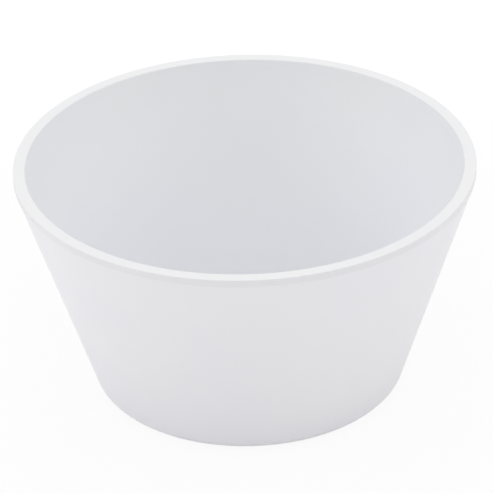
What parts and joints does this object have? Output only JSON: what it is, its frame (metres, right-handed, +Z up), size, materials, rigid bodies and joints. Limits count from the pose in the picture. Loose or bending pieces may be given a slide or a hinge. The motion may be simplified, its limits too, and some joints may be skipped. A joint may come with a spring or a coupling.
{
  "type": "serving bowl",
  "caption": "Plain white double-walled serving bowl for chips or dip: straight tapered sides, flat rim with a narrow skirt, rounded base on a foot ring.",
  "frame": {"origin": "centre of the foot ring, on the table", "axes": "+Z up along the bowl's axis, X and Y in the table; the bowl is the same all round"},
  "size_m": [0.25, 0.25, 0.131],
  "materials": {
    "white_plastic": "satin white, moulded through"
  },
  "bodies": {
    "root": {"inner_bowl": "white_plastic", "outer_shell": "white_plastic"}
  },
  "joints": []
}
